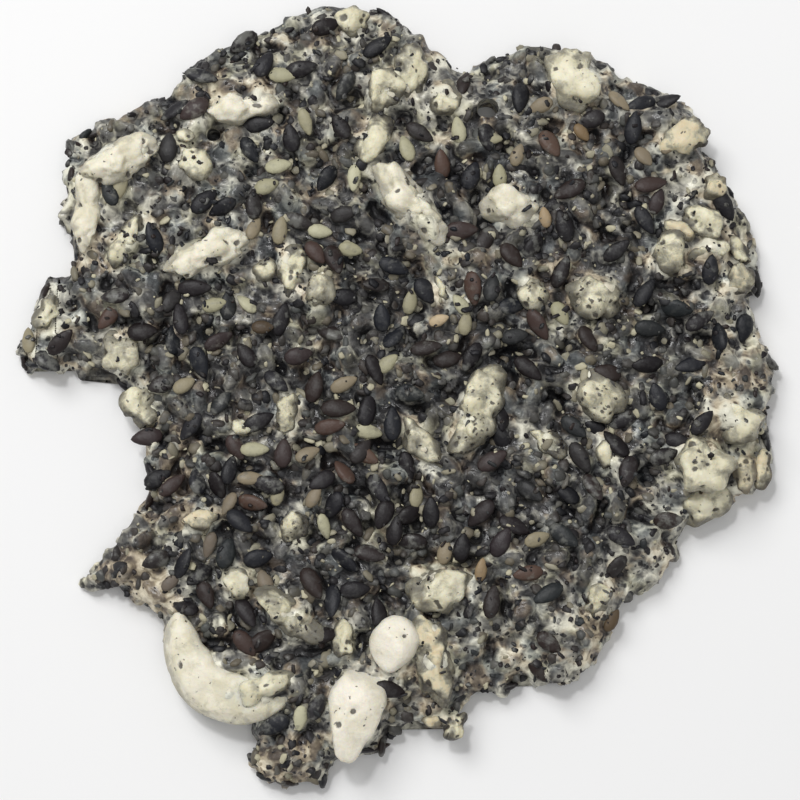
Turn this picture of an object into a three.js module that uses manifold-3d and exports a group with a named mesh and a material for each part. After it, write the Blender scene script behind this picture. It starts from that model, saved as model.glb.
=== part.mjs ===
// A broken slab of black sesame brittle. Boiled sugar binds toasted sesame seeds and
// broken nuts into one rigid piece, so the whole slab is one solid.
// Millimetres, +Z up. The origin is the centre of the slab's box, on the flat underside.
// +Y is the slab's far edge, and -X the side with the two spurs.
import * as THREE from "three";
import { mergeVertices } from "three/addons/utils/BufferGeometryUtils.js";
import Module from "manifold-3d";

const wasm = await Module();
wasm.setup();

// The sugar between the toppings
const SUGAR_TOP = 4.7;
const RIM_TOP = 2.7;
const RIM_WIDTH = 5.5;
const LUMP_HEIGHT = 0.42;
const RELIEF_STEP = 2.8;
const BLOCK_TOP = 9;
const OUTLINE_STEP = 1.9;

// One sesame seed, and the spacing of those that the rule lays between the placed ones
const SEED_LENGTH = 3.3;
const SEED_WIDTH = 1.95;
const SEED_THICKNESS = 0.95;
const SEED_SIDES = 5;
const SEED_SPACING = 4.6;
const SEED_CLEARANCE = 3.2;
const SEED_COUNT = 260;
const SEED_NUDGE = 1.6;
const SPIRAL_REACH = 0.565;
const NUT_CLEARANCE = 0.6;
const EDGE_CLEARANCE = 1.6;

// How a seed on top is tipped, in radians, and how high its middle is over the sugar
const SEED_ROLL = 0.7;
const SEED_PITCH = 0.5;
const SEED_LIFT = 0.12;
const SEED_LIFT_SPREAD = 0.2;

// Seeds in the broken edge: their spacing, their turn out of the wall, and their height
const EDGE_SEED_SPACING = 8;
const EDGE_SEED_ROLL = 0.9;
const EDGE_SEED_PITCH = 1.2;
const EDGE_SEED_HEIGHT = 1.25;
const EDGE_SEED_HEIGHT_SPREAD = 0.9;

// Broken nuts: the long ones have finer faces than the short ones.
const LONG_NUT = 6.2;
const NUT_LUMP = 0.1;
const NUT_FLATNESS = 0.8;
const NUT_RISE = 0.06;

// Two bubbles burst as the sugar set: one goes right through, one is a blind pit.
const BUBBLE_SIDES = 10;
const BUBBLE_FLARE = 1.15;
const BUBBLE_TAPER = 0.9;
const BUBBLES = [
  { x: 8.8, y: 26.9, radius: 1.05, floor: -1 },
  { x: -17.5, y: 24.5, radius: 0.7, floor: 1.6 },
];

// The broken edge, corner by corner, anticlockwise from the far side.
const OUTLINE = [
  // far edge to the left spur
  [-6.5, 37.9], [-13.3, 35.1], [-19.8, 31.9], [-22.8, 28.7], [-27.2, 26.8], [-32.0, 24.1],
  [-32.0, 19.1], [-33.0, 16.0], [-31.2, 14.7], [-31.4, 11.6], [-33.5, 11.3], [-34.7, 8.4],
  // left spur, the bay, and the lower spur
  [-36.3, 2.3], [-35.6, 1.3], [-31.6, 2.0], [-30.1, 0.9], [-27.9, 1.7], [-24.7, -3.1],
  [-24.4, -10.1], [-27.0, -14.9], [-30.0, -18.6], [-26.3, -19.4], [-22.4, -22.5],
  // near edge
  [-21.9, -25.7], [-20.1, -29.0], [-16.2, -31.2], [-13.7, -32.1], [-13.9, -36.0],
  [-10.8, -37.9], [-7.0, -37.2], [-4.6, -34.7], [-1.0, -34.5], [1.6, -31.9], [5.9, -32.8],
  [6.9, -29.9], [10.8, -28.9], [11.8, -27.6], [15.6, -28.9], [18.4, -26.9],
  // right edge
  [21.4, -21.1], [26.4, -16.9], [27.9, -12.9], [32.3, -10.8], [35.8, -7.6], [35.8, -2.9],
  [36.3, 1.6], [34.6, 7.6], [35.4, 10.5], [33.2, 17.2], [30.9, 22.4], [29.2, 24.4],
  // far edge to the start
  [29.5, 26.7], [26.4, 29.0], [20.6, 31.6], [15.9, 33.8], [11.9, 33.9], [6.8, 31.7],
  [3.8, 33.5], [1.6, 35.6], [-1.0, 37.5], [-3.7, 37.1],
];

// Nut pieces that show: x, y, length, width, heading in degrees. The one with a sixth
// number is a whole crescent, bent to that radius.
const NUTS = [
  // far left quarter
  [-3.9, 35.6, 2.7, 2.3, 0], [-15.1, 27.1, 6.3, 2.7, 8], [-26.4, 21.9, 7.0, 3.4, 15],
  [-29.4, 17.3, 8.0, 2.3, 88], [-19.2, 21.5, 3.1, 2.6, 110], [-1.1, 28.5, 4.2, 3.2, 60],
  [-2.1, 23.8, 4.4, 2.7, 80], [-17.8, 12.7, 7.0, 3.3, 21], [-9.8, 11.1, 4.4, 3.0, 95],
  [-7.2, 8.9, 2.9, 2.1, 70], [-25.5, 14.0, 4.8, 2.3, 65], [-26.0, 3.2, 4.2, 3.2, 110],
  [-33.1, 7.1, 3.4, 2.5, 70],
  // far right quarter
  [1.2, 17.2, 9.3, 4.2, -48], [1.4, 30.2, 5.3, 2.7, 95], [4.8, 27.9, 3.0, 2.9, 0],
  [17.3, 29.7, 5.1, 4.2, -60], [27.7, 24.1, 4.6, 3.2, 25], [10.9, 17.2, 4.6, 3.4, -25],
  [29.0, 15.7, 3.6, 2.7, -40], [26.0, 12.8, 3.4, 3.0, 0], [30.0, 13.1, 3.2, 2.5, 20],
  [13.2, 8.9, 2.9, 2.3, -60], [18.9, 8.6, 4.4, 3.8, 0], [32.6, 9.9, 2.7, 2.3, 60],
  // near left quarter
  [-24.3, -1.6, 3.6, 2.9, 70], [-17.5, -28.2, 14.0, 4.6, -30, 5.7], [-12.5, -28.4, 5.7, 2.5, 20],
  [-15.0, -18.7, 3.0, 2.7, 0], [-9.9, -21.6, 6.1, 3.2, -38], [-3.8, -30.8, 8.7, 4.8, 75],
  [-0.4, -24.4, 4.8, 4.4, 60], [-9.6, -13.1, 3.4, 2.3, 80], [-10.2, -2.6, 3.2, 1.9, 75],
  // near right quarter
  [3.5, -25.4, 7.4, 3.6, -80], [4.2, -19.2, 5.3, 4.0, 15], [7.4, -2.7, 8.1, 3.4, 65],
  [2.2, -5.4, 5.2, 2.3, -50], [14.1, -5.2, 4.9, 2.1, -30], [32.1, -3.0, 4.8, 3.8, -35],
  [29.0, -7.5, 4.9, 4.4, 30], [33.1, -8.0, 3.4, 1.7, 85], [34.9, -7.4, 3.6, 1.7, 80],
  [29.2, -11.3, 4.2, 3.2, 40], [18.9, -20.0, 4.0, 2.5, 60], [19.1, -1.1, 4.6, 3.4, -50],
];

// Whole seeds that lie on top where they catch the eye: x, y, heading in degrees.
const PLACED_SEEDS = [
  [-10.0, 23.8, 100], [-12.6, 31.1, 60], [-21.7, 22.9, 85], [-23.0, 14.2, 110],
  [-4.9, 16.5, 15], [-19.1, 9.4, 0], [-20.4, 6.4, 100], [-24.0, 5.2, 5],
  [-31.8, 4.3, 45], [-7.7, -0.1, 75], [-5.4, -2.2, 0], [-9.2, 2.9, 15], [-0.3, -3.6, 90],
  [3.3, -12.0, 90], [-0.1, -13.7, 80], [9.1, -7.1, 30], [6.2, -15.3, 80],
  [11.3, 4.8, 10], [22.7, 24.9, 80], [21.2, 20.7, -70], [24.3, 19.4, 10],
  [23.7, 15.9, -60], [31.4, 17.6, -60], [11.0, 12.4, -50], [9.1, 9.3, 80],
  [23.6, 8.9, 55], [24.1, 5.5, -5], [18.2, 4.4, -60], [6.2, 14.9, 5], [7.2, 20.2, 70],
  [16.8, -3.9, -40], [17.4, -6.8, -60], [-0.5, -28.6, -15], [-14.0, -21.4, -60],
  [-14.1, -24.3, -50], [-15.9, -15.8, 75], [-12.9, -16.3, 15], [-14.6, -12.9, -40],
  [-3.8, -19.3, 5], [9.9, -14.8, 60], [9.0, -20.4, 80],
];

// A repeatable number from 0 to 1 for piece i, with its own salt for each use.
function chance(i, salt) {
  const wave = Math.sin(i * 12.9898 + salt * 78.233) * 43758.5453;
  return wave - Math.floor(wave);
}

const corners = OUTLINE.map(([x, y]) => new THREE.Vector3(x, y, 0));
const edgeCurve = new THREE.CatmullRomCurve3(corners, true, "centripetal");
const edgePoints = edgeCurve
  .getSpacedPoints(Math.round(edgeCurve.getLength() / OUTLINE_STEP))
  .slice(0, -1)
  .map((p) => new THREE.Vector2(p.x, p.y));

// Distance from (x, y) to the broken edge, negative outside the slab.
function depthInside(x, y) {
  let nearest = Infinity;
  let inside = false;
  edgePoints.forEach((a, i) => {
    const b = edgePoints[(i + 1) % edgePoints.length];
    const along = b.clone().sub(a);
    const reach = ((x - a.x) * along.x + (y - a.y) * along.y) / along.lengthSq();
    const t = THREE.MathUtils.clamp(reach, 0, 1);
    nearest = Math.min(nearest, Math.hypot(x - a.x - t * along.x, y - a.y - t * along.y));
    if (a.y > y !== b.y > y && x < a.x + (along.x * (y - a.y)) / along.y) inside = !inside;
  });
  return inside ? nearest : -nearest;
}

// Slow waves in the sugar where the spoon left it uneven.
function lumps(x, y) {
  const broad = Math.sin(x / 2.7 + 1.3) * Math.sin(y / 2.3 + 0.4);
  const fine = Math.sin(x / 1.3 + y / 1.9) * Math.cos(y / 1.2 - x / 2.9);
  return LUMP_HEIGHT * (broad + 0.8 * fine);
}

// Height of the sugar at (x, y): it thins out towards the broken edge.
function sugarTop(x, y) {
  const inwards = THREE.MathUtils.smoothstep(depthInside(x, y), -0.5, RIM_WIDTH);
  return RIM_TOP + (SUGAR_TOP - RIM_TOP) * inwards + lumps(x, y);
}

// A closed geometry as a solid.
function solidFrom(geometry) {
  geometry.deleteAttribute("normal");
  geometry.deleteAttribute("uv");
  const merged = mergeVertices(geometry, 1e-4);
  return new wasm.Manifold(
    new wasm.Mesh({
      numProp: 3,
      vertProperties: merged.attributes.position.array,
      triVerts: new Uint32Array(merged.index.array),
    }),
  );
}

// The sugar itself: the outline pushed up through a block whose top has the relief.
function sugarSlab() {
  const wall = new THREE.ExtrudeGeometry(new THREE.Shape(edgePoints), {
    depth: BLOCK_TOP,
    bevelEnabled: false,
  });
  const size = new THREE.Box2().setFromPoints(edgePoints).getSize(new THREE.Vector2());
  const width = size.x + 2 * RELIEF_STEP;
  const length = size.y + 2 * RELIEF_STEP;
  const block = new THREE.BoxGeometry(
    width,
    length,
    BLOCK_TOP,
    Math.round(width / RELIEF_STEP),
    Math.round(length / RELIEF_STEP),
    1,
  );
  const place = block.attributes.position;
  for (let i = 0; i < place.count; i++) {
    if (place.getZ(i) > 0) place.setZ(i, sugarTop(place.getX(i), place.getY(i)));
  }
  return solidFrom(wall).intersect(solidFrom(block));
}

// The ball that a nut piece is shaped from, finer the longer the piece is.
function nutBall(length, bendRadius) {
  if (bendRadius) return new THREE.IcosahedronGeometry(1, 2);
  if (length > LONG_NUT) return new THREE.IcosahedronGeometry(1, 1);
  return new THREE.SphereGeometry(1, 6, 4);
}

// A nut piece: a ball whose surface swells and dips in waves, stretched to its size.
function nutPiece([x, y, length, width, heading, bendRadius], index) {
  const height = NUT_FLATNESS * width;
  const ball = nutBall(length, bendRadius);
  const place = ball.attributes.position;
  const p = new THREE.Vector3();
  for (let i = 0; i < place.count; i++) {
    p.fromBufferAttribute(place, i);
    const swell =
      Math.sin(3.1 * p.x + index) +
      Math.sin(3.7 * p.y + 2 * index) +
      Math.sin(2.9 * p.z + 3 * index);
    p.multiplyScalar(1 + NUT_LUMP * swell);
    p.set((p.x * length) / 2, (p.y * width) / 2, (p.z * height) / 2);
    if (bendRadius) {
      const turn = p.x / bendRadius;
      const reach = bendRadius - p.y;
      p.set(reach * Math.sin(turn), bendRadius - reach * Math.cos(turn), p.z);
    }
    place.setXYZ(i, p.x, p.y, p.z);
  }
  ball.rotateZ(THREE.MathUtils.degToRad(heading));
  ball.translate(x, y, sugarTop(x, y) + NUT_RISE * width);
  return solidFrom(ball);
}

// One sesame seed lying along X: a flattened drop, blunt at one end and pointed at the other.
function seedShape() {
  const halfLength = SEED_LENGTH / 2;
  const profile = [
    [0, -halfLength],
    [0.96, -0.4 * halfLength],
    [0.8, 0.38 * halfLength],
    [0, halfLength],
  ].map(([reach, along]) => new THREE.Vector2((reach * SEED_WIDTH) / 2, along));
  return new THREE.LatheGeometry(profile, SEED_SIDES)
    .rotateZ(-Math.PI / 2)
    .scale(1, 1, SEED_THICKNESS / SEED_WIDTH);
}

// A seed on top of the sugar, tipped a little.
function seedOnTop([x, y, heading], index) {
  const seed = seedShape();
  seed.rotateX((chance(index, 3) - 0.5) * SEED_ROLL);
  seed.rotateY((chance(index, 4) - 0.5) * SEED_PITCH);
  seed.rotateZ(THREE.MathUtils.degToRad(heading));
  seed.translate(x, y, sugarTop(x, y) + SEED_LIFT + SEED_LIFT_SPREAD * chance(index, 5));
  return solidFrom(seed);
}

// Whether (x, y) keeps clear of a nut piece, seen from above. Round a bent piece the
// distances are taken along its bend and across it.
function clearOfNut(x, y, [nx, ny, length, width, heading, bendRadius]) {
  const aim = THREE.MathUtils.degToRad(heading);
  let along = (x - nx) * Math.cos(aim) + (y - ny) * Math.sin(aim);
  let across = (y - ny) * Math.cos(aim) - (x - nx) * Math.sin(aim);
  if (bendRadius) {
    const reach = Math.hypot(along, bendRadius - across);
    along = bendRadius * Math.atan2(along, bendRadius - across);
    across = bendRadius - reach;
  }
  const scaledAlong = along / (length / 2 + NUT_CLEARANCE);
  const scaledAcross = across / (width / 2 + NUT_CLEARANCE);
  return Math.hypot(scaledAlong, scaledAcross) > 1;
}

// Between the placed seeds a sunflower spiral spreads the rest evenly, with a random nudge.
function ruleSeeds() {
  const turn = Math.PI * (3 - Math.sqrt(5));
  const found = [];
  for (let i = 0; i < SEED_COUNT; i++) {
    const reach = SEED_SPACING * SPIRAL_REACH * Math.sqrt(i + 0.5);
    const x = reach * Math.cos(i * turn) + (chance(i, 1) - 0.5) * SEED_NUDGE;
    const y = reach * Math.sin(i * turn) + (chance(i, 2) - 0.5) * SEED_NUDGE;
    const clearOfSeeds = [...PLACED_SEEDS, ...found].every(
      ([sx, sy]) => Math.hypot(x - sx, y - sy) > SEED_CLEARANCE,
    );
    const clearOfNuts = NUTS.every((nut) => clearOfNut(x, y, nut));
    if (clearOfSeeds && clearOfNuts && depthInside(x, y) > EDGE_CLEARANCE) {
      found.push([x, y, 360 * chance(i, 6)]);
    }
  }
  return found;
}

// Seeds that stick out of the broken edge, flat against it.
function edgeSeeds() {
  const count = Math.round(edgeCurve.getLength() / EDGE_SEED_SPACING);
  return Array.from({ length: count }, (_, i) => {
    const at = (i + chance(i, 7) / 2) / count;
    const point = edgeCurve.getPointAt(at);
    const tangent = edgeCurve.getTangentAt(at);
    const seed = seedShape();
    seed.rotateX(Math.PI / 2 + (chance(i, 8) - 0.5) * EDGE_SEED_ROLL);
    seed.rotateY((chance(i, 9) - 0.5) * EDGE_SEED_PITCH);
    seed.rotateZ(Math.atan2(tangent.y, tangent.x));
    const height = EDGE_SEED_HEIGHT + EDGE_SEED_HEIGHT_SPREAD * chance(i, 10);
    seed.translate(point.x, point.y, height);
    return solidFrom(seed);
  });
}

// A burst bubble, as the tool that opens it: a slightly tapered plug.
function bubbleOpening({ x, y, radius, floor }) {
  const plug = new THREE.CylinderGeometry(
    radius * BUBBLE_FLARE,
    radius * BUBBLE_TAPER,
    BLOCK_TOP - floor,
    BUBBLE_SIDES,
  );
  plug.rotateX(Math.PI / 2);
  plug.translate(x, y, (BLOCK_TOP + floor) / 2);
  return solidFrom(plug);
}

// Joined, the pieces are one body: sealed gaps are filled and loose scraps dropped.
function largestBody(solid) {
  return solid.decompose().sort((a, b) => b.volume() - a.volume())[0];
}

function slabSolid() {
  const toppings = [
    ...NUTS.map(nutPiece),
    ...[...PLACED_SEEDS, ...ruleSeeds()].map(seedOnTop),
    ...edgeSeeds(),
  ];
  const joined = wasm.Manifold.union([sugarSlab(), ...toppings]);
  const opened = BUBBLES.map(bubbleOpening).reduce((solid, hole) => solid.subtract(hole), joined);
  return largestBody(opened);
}

function geometryFrom(solid) {
  const { vertProperties, triVerts } = solid.getMesh();
  const geometry = new THREE.BufferGeometry();
  geometry.setAttribute("position", new THREE.BufferAttribute(vertProperties, 3));
  geometry.setIndex(new THREE.BufferAttribute(triVerts, 1));
  geometry.computeVertexNormals();
  return geometry;
}

const brittleFinish = new THREE.MeshStandardMaterial({
  color: 0x66635b,
  roughness: 0.5,
  metalness: 0,
});

const slab = new THREE.Mesh(geometryFrom(slabSolid()), brittleFinish);
slab.name = "sesame_brittle_slab";

const brittle = new THREE.Group();
brittle.add(slab);

export default brittle;
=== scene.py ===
# A broken slab of black sesame brittle: toasted black sesame seeds and chopped nuts
# in boiled sugar. Positions and sizes are in millimetres, turned to metres in the meshes.
import math

import bmesh
import bpy
import numpy as np
from mathutils import Euler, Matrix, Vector
from mathutils.geometry import delaunay_2d_cdt, tessellate_polygon


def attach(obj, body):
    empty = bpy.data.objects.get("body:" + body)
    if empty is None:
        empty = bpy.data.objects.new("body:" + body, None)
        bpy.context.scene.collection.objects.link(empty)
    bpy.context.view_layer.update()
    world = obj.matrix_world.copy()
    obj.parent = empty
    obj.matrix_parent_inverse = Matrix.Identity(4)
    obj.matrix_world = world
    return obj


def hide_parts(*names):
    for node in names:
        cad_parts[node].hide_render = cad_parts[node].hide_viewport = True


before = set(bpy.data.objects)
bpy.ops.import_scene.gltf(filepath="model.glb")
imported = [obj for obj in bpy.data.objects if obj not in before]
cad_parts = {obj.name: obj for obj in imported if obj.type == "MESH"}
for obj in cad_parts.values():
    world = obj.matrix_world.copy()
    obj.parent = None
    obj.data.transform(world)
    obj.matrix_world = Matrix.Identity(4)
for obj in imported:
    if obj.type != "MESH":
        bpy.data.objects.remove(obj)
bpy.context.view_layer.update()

# The slab's plan and its height.
# The sugar was poured on a flat sheet, spread with a spoon and snapped by hand, so the
# underside is flat, the top uneven, and the rim thinner than the middle.
MM = 0.001
SUGAR_TOP = 4.7
RIM_TOP = 2.7
RIM_WIDTH = 5.5
RIM_FOOT = -0.5
LUMP_HEIGHT = 0.42
OUTLINE_STEP = 1.9
EDGE_STEP = 0.3
STEPS_A_CORNER = 60
CORNERS = [
    # far edge to the left spur
    (-6.5, 37.9), (-13.3, 35.1), (-19.8, 31.9), (-22.8, 28.7), (-27.2, 26.8), (-32.0, 24.1),
    (-32.0, 19.1), (-33.0, 16.0), (-31.2, 14.7), (-31.4, 11.6), (-33.5, 11.3), (-34.7, 8.4),
    # left spur, the bay, and the lower spur
    (-36.3, 2.3), (-35.6, 1.3), (-31.6, 2.0), (-30.1, 0.9), (-27.9, 1.7), (-24.7, -3.1),
    (-24.4, -10.1), (-27.0, -14.9), (-30.0, -18.6), (-26.3, -19.4), (-22.4, -22.5),
    # near edge
    (-21.9, -25.7), (-20.1, -29.0), (-16.2, -31.2), (-13.7, -32.1), (-13.9, -36.0),
    (-10.8, -37.9), (-7.0, -37.2), (-4.6, -34.7), (-1.0, -34.5), (1.6, -31.9), (5.9, -32.8),
    (6.9, -29.9), (10.8, -28.9), (11.8, -27.6), (15.6, -28.9), (18.4, -26.9),
    # right edge
    (21.4, -21.1), (26.4, -16.9), (27.9, -12.9), (32.3, -10.8), (35.8, -7.6), (35.8, -2.9),
    (36.3, 1.6), (34.6, 7.6), (35.4, 10.5), (33.2, 17.2), (30.9, 22.4), (29.2, 24.4),
    # far edge to the start
    (29.5, 26.7), (26.4, 29.0), (20.6, 31.6), (15.9, 33.8), (11.9, 33.9), (6.8, 31.7),
    (3.8, 33.5), (1.6, 35.6), (-1.0, 37.5), (-3.7, 37.1),
]


def smooth_loop(corners, step):
    """A closed centripetal spline through the corners, as points an equal step apart."""
    p = np.array(corners)
    before, after, beyond = np.roll(p, 1, 0), np.roll(p, -1, 0), np.roll(p, -2, 0)
    gap = np.sqrt(np.linalg.norm(after - p, axis=1))[:, None]
    gap_before, gap_after = np.roll(gap, 1, 0), np.roll(gap, -1, 0)
    leave = (p - before) / gap_before - (after - before) / (gap_before + gap) + (after - p) / gap
    reach = (after - p) / gap - (beyond - p) / (gap + gap_after) + (beyond - after) / gap_after
    leave, reach = leave * gap, reach * gap
    t = np.linspace(0, 1, STEPS_A_CORNER, endpoint=False)[None, :, None]
    p, after, leave, reach = p[:, None], after[:, None], leave[:, None], reach[:, None]
    cubic = 2 * p - 2 * after + leave + reach
    square = 3 * after - 3 * p - 2 * leave - reach
    dense = (p + leave * t + square * t**2 + cubic * t**3).reshape(-1, 2)
    closed = np.vstack([dense, dense[:1]])
    travelled = np.r_[0, np.cumsum(np.linalg.norm(np.diff(closed, axis=0), axis=1))]
    stops = np.linspace(0, travelled[-1], round(travelled[-1] / step), endpoint=False)
    return np.stack([np.interp(stops, travelled, closed[:, axis]) for axis in (0, 1)], axis=1)


edge = smooth_loop(CORNERS, OUTLINE_STEP)


def depth_inside(x, y):
    """Distance from (x, y) to the broken edge, negative outside the slab."""
    nearest = np.full(x.shape, np.inf)
    inside = np.zeros(x.shape, bool)
    for a, b in zip(edge, np.roll(edge, -1, 0)):
        run = b - a
        t = np.clip(((x - a[0]) * run[0] + (y - a[1]) * run[1]) / (run @ run), 0, 1)
        nearest = np.minimum(nearest, np.hypot(x - a[0] - t * run[0], y - a[1] - t * run[1]))
        if a[1] != b[1]:
            crosses = (a[1] > y) != (b[1] > y)
            inside ^= crosses & (x < a[0] + run[0] * (y - a[1]) / run[1])
    return np.where(inside, nearest, -nearest)


def ease(value, low, high):
    """0 below low, 1 above high and a smooth rise between them."""
    t = np.clip((value - low) / (high - low), 0, 1)
    return t * t * (3 - 2 * t)


def sugar_level(x, y):
    """Height of the sugar at (x, y), with the slow waves that the spoon left."""
    x, y = np.asarray(x, float), np.asarray(y, float)
    broad = np.sin(x / 2.7 + 1.3) * np.sin(y / 2.3 + 0.4)
    fine = np.sin(x / 1.3 + y / 1.9) * np.cos(y / 1.2 - x / 2.9)
    rise = ease(depth_inside(x, y), RIM_FOOT, RIM_WIDTH)
    return RIM_TOP + (SUGAR_TOP - RIM_TOP) * rise + LUMP_HEIGHT * (broad + 0.8 * fine)


def lumpiness(x, y, z, size, salt):
    """Soft random relief from 0 to 1, with lumps about one size across.

    Space is cut into cells. The large odd numbers turn each cell's place and the salt into
    a random value, and the values are blended between the cells.
    """
    p = np.stack([np.broadcast_to(v, np.shape(x)) / size for v in (x, y, z)])
    cell = np.floor(p).astype(np.int64)
    t = p - cell
    t = t * t * t * (t * (6 * t - 15) + 10)
    total = np.zeros(np.shape(x))
    for corner in np.ndindex(2, 2, 2):
        i, j, k = (cell[axis] + corner[axis] for axis in range(3))
        mixed = (i * 374761393 + j * 668265263 + k * 2246822519 + salt * 3266489917) & 0xFFFFFFFF
        mixed = ((mixed ^ (mixed >> 13)) * 1274126177) & 0xFFFFFFFF
        value = (mixed ^ (mixed >> 16)) / 0xFFFFFFFF
        weights = [t[axis] if corner[axis] else 1 - t[axis] for axis in range(3)]
        total += value * weights[0] * weights[1] * weights[2]
    return total


def chance(i, salt):
    """A repeatable number from 0 to 1 for piece i, with its own salt for each use."""
    wave = np.sin(i * 12.9898 + salt * 78.233) * 43758.5453
    return wave - np.floor(wave)


# Chopped nuts.
# Cream nut flesh, chopped by knife: each piece is a lump cut by a few flat breaks and
# lies half sunk in the sugar. Smaller chips of it are strewn between.
#
# Their finish is a node tree written as expressions: a Wire is one output socket, and the
# arithmetic signs between wires and numbers add Math nodes.
def paint(red, green, blue):
    """A colour read off a screen, 0 to 255, as the shader's linear colour."""
    def channel(v):
        v = v / 255
        return v / 12.92 if v <= 0.04045 else ((v + 0.055) / 1.055) ** 2.4
    return (channel(red), channel(green), channel(blue), 1)


class Wire:
    """One output socket of a finish, which Python's operators work on."""

    def __init__(self, finish, socket):
        self.finish = finish
        self.socket = socket

    def maths(self, operation, *values, clamp=False):
        return self.finish.node("ShaderNodeMath", {"operation": operation, "use_clamp": clamp}, values)

    def __add__(self, other):
        return self.maths("ADD", self, other)

    def __sub__(self, other):
        return self.maths("SUBTRACT", self, other)

    def __rsub__(self, other):
        return self.maths("SUBTRACT", other, self)

    def __mul__(self, other):
        return self.maths("MULTIPLY", self, other)

    __radd__ = __add__
    __rmul__ = __mul__

    def clamped(self):
        return self.maths("ADD", self, 0.0, clamp=True)

    def higher(self, other):
        return self.maths("MAXIMUM", self, other)

    def rise(self, low, high):
        """0 where the wire is below low, 1 above high, smooth between."""
        settings = {"interpolation_type": "SMOOTHSTEP"}
        sockets = {"Value": self, "From Min": low, "From Max": high}
        return self.finish.node("ShaderNodeMapRange", settings, sockets)


class Finish:
    """A material whose one shader is set from wires and numbers."""

    def __init__(self, name):
        self.material = bpy.data.materials.new(name)
        self.material.use_nodes = True
        self.nodes = self.material.node_tree.nodes
        self.links = self.material.node_tree.links
        self.nodes.clear()
        place = self.node("ShaderNodeTexCoord", output="Object")
        in_mm = {"Vector": place, "Scale": 1 / MM}
        self.place = self.node("ShaderNodeVectorMath", {"operation": "SCALE"}, in_mm)

    def node(self, kind, settings=None, inputs=(), output=0):
        """Adds a node: its settings first, then the values or links of its sockets."""
        node = self.nodes.new(kind)
        for key, value in (settings or {}).items():
            if key == "stops":
                stops = node.color_ramp.elements
                while len(stops) < len(value):
                    stops.new(1.0)
                for stop, (position, *colour) in zip(stops, value):
                    stop.position = position
                    stop.color = paint(*colour)
            else:
                setattr(node, key, value)
        named = inputs.items() if isinstance(inputs, dict) else enumerate(inputs)
        for key, value in named:
            if isinstance(value, Wire):
                self.links.new(value.socket, node.inputs[key])
            else:
                node.inputs[key].default_value = value
        return Wire(self, node.outputs[output])

    def cloud(self, size, detail=2.0, roughness=0.5, shift=0.0, warp=0.0):
        """Noise about 0.5, with lumps of one size in millimetres."""
        offset = (shift, 1.7 * shift, -shift)
        where = self.node("ShaderNodeVectorMath", {"operation": "ADD"}, [self.place, offset])
        sockets = {"Vector": where, "Scale": 1 / size, "Detail": detail}
        sockets.update({"Roughness": roughness, "Distortion": warp})
        return self.node("ShaderNodeTexNoise", None, sockets, "Fac")

    def cells(self, size):
        """How far it is to the middle of the nearest cell, of one size in millimetres.

        Noise a little finer than the cells pulls them out of shape.
        """
        noise = {"Vector": self.place, "Scale": 1.3 / size}
        pull = {"Vector": self.node("ShaderNodeTexNoise", None, noise, "Color"), "Scale": size}
        pull = self.node("ShaderNodeVectorMath", {"operation": "SCALE"}, pull)
        where = self.node("ShaderNodeVectorMath", {"operation": "ADD"}, [self.place, pull])
        sockets = {"Vector": where, "Scale": 1 / size}
        return self.node("ShaderNodeTexVoronoi", {"feature": "F1"}, sockets, "Distance")

    def own(self, attribute):
        """A number that the mesh carries under this name."""
        return self.node("ShaderNodeAttribute", {"attribute_name": attribute}, output="Fac")

    def blend(self, share, first, second):
        """A colour between first and second, on the Mix node's own colour sockets."""
        colours = {"Factor": share, 6: first, 7: second}
        return self.node("ShaderNodeMix", {"data_type": "RGBA"}, colours, 2)

    def ramp(self, share, stops):
        """A colour that runs through stops, each a place from 0 to 1 and a screen colour."""
        return self.node("ShaderNodeValToRGB", {"stops": stops}, [share], "Color")

    def bump(self, height, depth, strength=1.0):
        """Relief of so many millimetres."""
        sockets = {"Height": height, "Distance": depth * MM, "Strength": strength}
        return self.node("ShaderNodeBump", None, sockets, "Normal")

    def shader(self, **sockets):
        """The one Principled shader. A socket is named with _ for a space."""
        named = {key.replace("_", " "): value for key, value in sockets.items()}
        surface = self.node("ShaderNodeBsdfPrincipled", None, named, "BSDF")
        end = self.nodes.new("ShaderNodeOutputMaterial")
        self.links.new(surface.socket, end.inputs["Surface"])
        return self.material


def mesh_piece(name, verts, faces, material, **attributes):
    """A smooth mesh object from points in millimetres, with numbers carried by its points."""
    mesh = bpy.data.meshes.new(name)
    mesh.from_pydata((np.asarray(verts) * MM).tolist(), [], faces)
    mesh.materials.append(material)
    mesh.shade_smooth()
    for key, values in attributes.items():
        layer = mesh.attributes.new(key, "FLOAT", "POINT")
        layer.data.foreach_set("value", np.asarray(values, np.float32))
    piece = bpy.data.objects.new(name, mesh)
    bpy.context.scene.collection.objects.link(piece)
    return piece


def set_in_slab(piece):
    """Every piece is bound into the one slab and stands for it."""
    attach(piece, "root")
    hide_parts("sesame_brittle_slab")


def turned(heading, roll=0.0, pitch=0.0):
    """Rotation by roll about X, then pitch about Y, then heading about Z, in radians."""
    return np.array(Euler((roll, pitch, heading), "XYZ").to_matrix())


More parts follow.
